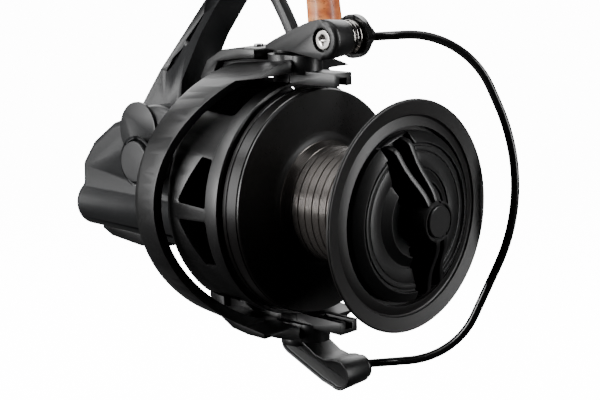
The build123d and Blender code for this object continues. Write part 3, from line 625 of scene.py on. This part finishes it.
def choose(piece, faces=None, edges=None):
    # leaves the piece in edit mode with the faces or edges that pass the test selected
    pick(piece)
    bpy.context.tool_settings.mesh_select_mode = (False, edges is not None, faces is not None)
    bpy.ops.object.mode_set(mode="EDIT")
    bpy.ops.mesh.select_all(action="DESELECT")
    bpy.ops.object.mode_set(mode="OBJECT")
    mesh = piece.data
    if faces:
        for face in mesh.polygons:
            face.select = faces(face.normal, face.center / mm)
    else:
        for line in mesh.edges:
            ends = [mesh.vertices[v].co / mm for v in line.vertices]
            line.select = all(edges(end) for end in ends)
    bpy.ops.object.mode_set(mode="EDIT")


def leaveChoice():
    bpy.ops.object.mode_set(mode="OBJECT")
    bpy.context.tool_settings.mesh_select_mode = (True, False, False)


def domeFront(piece, front, fromX, width):
    # rounds the front edge of the barrel's end only
    choose(piece, edges=lambda end: abs(end.y - front) < 0.01 and end.x > fromX)
    bpy.ops.mesh.bevel(offset=width * mm, segments=5, affect="EDGES")
    leaveChoice()


def narrowBack(piece, back, barrel, share):
    # draws the back face in towards the barrel's centre
    choose(piece, faces=lambda normal, centre: normal.y > 0.9 and abs(centre.y - back) < 0.01)
    bpy.ops.transform.resize(value=(share, 1, share), center_override=barrel * mm)
    leaveChoice()


def pivotBoss(node, sign, depth):
    k = leverShape
    ring = arc(k["pivotX"], 0, k["bossRadius"], 0, 345, 23)
    boss = plate("lever_boss", [(x, y, axisMm + sign * k["foot"]) for x, y in ring], (0, 0, sign * depth))
    spinAboutAxis(boss, k["turn"])
    roundEdges(boss, 0.3 * mm)
    smoothShade(boss, 35)
    place(boss, node)


def finishLever(lever, node, sign, boss):
    k = leverShape
    roundEdges(lever, k["edge"] * mm, 3, 35)
    spinAboutAxis(lever, k["turn"])
    smoothShade(lever, 40)
    place(lever, node)
    pivotBoss(node, sign, boss)


def makeRollerLever():
    # outline in X and height above the axis
    k = leverShape
    r = rollerLever
    outline = [(17.5, 52.9), (17.5, 53.6), (18.4, 54.5), (21.5, 56.0), (26.0, 57.9), (31.0, 59.9),
               (36.0, 61.9), (40.0, 63.2)]
    outline += arc(k["barrelX"], r["barrel"], r["radius"], 104, -110, 30)
    outline += [(39.6, 51.0), (35.5, 51.5), (30.0, 52.3), (24.0, 52.5), (18.4, 52.5)]
    face = [(x, r["front"], axisMm + h) for x, h in outline]
    lever = plate("lever_body", face, (0, r["back"] - r["front"], 0))
    narrowBack(lever, r["back"], Vector((k["barrelX"], 0, axisMm + r["barrel"])), r["taper"])
    domeFront(lever, r["front"], r["domeStart"], r["dome"])
    ring = arc(r["holeX"], r["barrel"], r["hole"], 0, 348, 29)
    hole = [(x, r["front"] - 1, axisMm + h) for x, h in ring]
    cutWith(lever, plate("hole", hole, (0, 1 + r["holeDepth"], 0)))
    finishLever(lever, "roller_lever", 1, r["boss"])


def makePlainLever():
    # outline in X and depth below the axis, with a sunk panel in the front face
    k = leverShape
    p = plainLever
    outline = [(17.6, 51.6), (17.5, 54.4), (18.3, 56.3), (20.0, 57.6), (26.0, 60.1), (32.0, 62.6),
               (38.0, 65.0)]
    outline += arc(k["barrelX"], p["barrel"], p["radius"], 118, -80, 28)
    outline += [(43.2, 55.6), (39.5, 56.4), (35.0, 55.6), (31.0, 53.4), (27.5, 51.6), (22.0, k["foot"]),
                (18.2, k["foot"])]
    face = [(x, p["front"], axisMm - h) for x, h in outline]
    lever = plate("lever_body", face, (0, p["back"] - p["front"], 0))
    choose(lever, faces=lambda normal, centre: normal.y < -0.9)
    bpy.ops.mesh.inset(thickness=p["rim"] * mm, depth=0)
    bpy.ops.mesh.inset(thickness=p["slope"] * mm, depth=-p["sunk"] * mm)
    leaveChoice()
    narrowBack(lever, p["back"], Vector((k["barrelX"], 0, axisMm - p["barrel"])), p["taper"])
    finishLever(lever, "plain_lever", -1, p["boss"])


makeRollerLever()
makePlainLever()
print("bail levers made")

bodyShape = {"edge": 0.35, "capX": -34.0, "capRise": 8.4, "capGap": 8.5, "bossFace": -25.0, "gapDepth": 1.1,
             "stemFace": -7.0, "slitDepth": 1.3}   # in mm
stemSlits = [  # in mm: X and Z at the two ends, then the widths at the upper end, the middle, the lower end
    ((-17.0, -15.0), (-26.6, -25.8), (0.3, 1.2, 2.0)),
    ((-28.9, -28.0), (-38.3, -37.4), (0.3, 2.3, 0.5)),
]


def makeBody():
    # the CAD casting with a ring gap round the axle cap and two slits in the stem
    k = bodyShape
    body = castCopy("reel_body", k["edge"] * mm)
    ring = arc(k["capX"], axisMm + k["capRise"], k["capGap"], 0, 352.5, 47)
    cutWith(body, plate("capGap", [(x, k["bossFace"] - 2, z) for x, z in ring], (0, 2 + k["gapDepth"], 0)))
    for upper, lower, widths in stemSlits:
        run = Vector((lower[0] - upper[0], 0, lower[1] - upper[1]))
        across = Vector((-run.z, 0, run.x)).normalized()
        start = Vector((upper[0], k["stemFace"] - 1, upper[1]))
        stations = [(start + run * share, width) for share, width in zip((0, 0.55, 1), widths)]
        outline = [spot + across * width / 2 for spot, width in stations]
        outline += [spot - across * width / 2 for spot, width in reversed(stations)]
        cutWith(body, plate("slit", [tuple(spot) for spot in outline], (0, 1 + k["slitDepth"], 0)))
    edit(body)   # the cuts leave slivers and pinholes, which are merged away and closed
    bpy.ops.mesh.remove_doubles(threshold=8e-6)
    bpy.ops.mesh.dissolve_degenerate(threshold=8e-6)
    bpy.ops.mesh.select_all(action="DESELECT")
    bpy.ops.mesh.select_non_manifold()
    bpy.ops.mesh.edge_face_add()
    leaveEdit()
    smoothShade(body, 40)


makeBody()
print("body made")

castings = {  # how wide the edges of each copy are rounded, in mm
    "rotor": 0.35, "side_cover": 0.35, "bottom_trim": 0.6, "top_arm_cover": 0.35, "low_arm_cover": 0.35,
    "crank_arm": 0.35, "bail_wire": 0, "wire_cone": 0, "wire_collar": 0, "line_roller": 0.12,
    "roller_screw": 0.12, "axle_cap": 0.12, "side_badge": 0.12, "knob_stem": 0.12, "handle_shank": 0.12,
    "crank_screw": 0.12, "cover_screws": 0.12, "arm_cover_screws": 0.12, "bail_pivot_screws": 0.12,
    "knob_bar": 0.5,
}
glossy = ("bail_wire", "wire_cone", "wire_collar")
for node, width in castings.items():
    castCopy(node, width * mm, finishes["bail_gloss"] if node in glossy else None)
print("castings rounded")

for name, piece in nodes.items():
    if piece.hide_render:
        continue
    piece.data.materials.clear()
    piece.data.materials.append(finishes[slotOf[name]])
    smoothShade(piece, 30)
print("carried-over nodes finished")
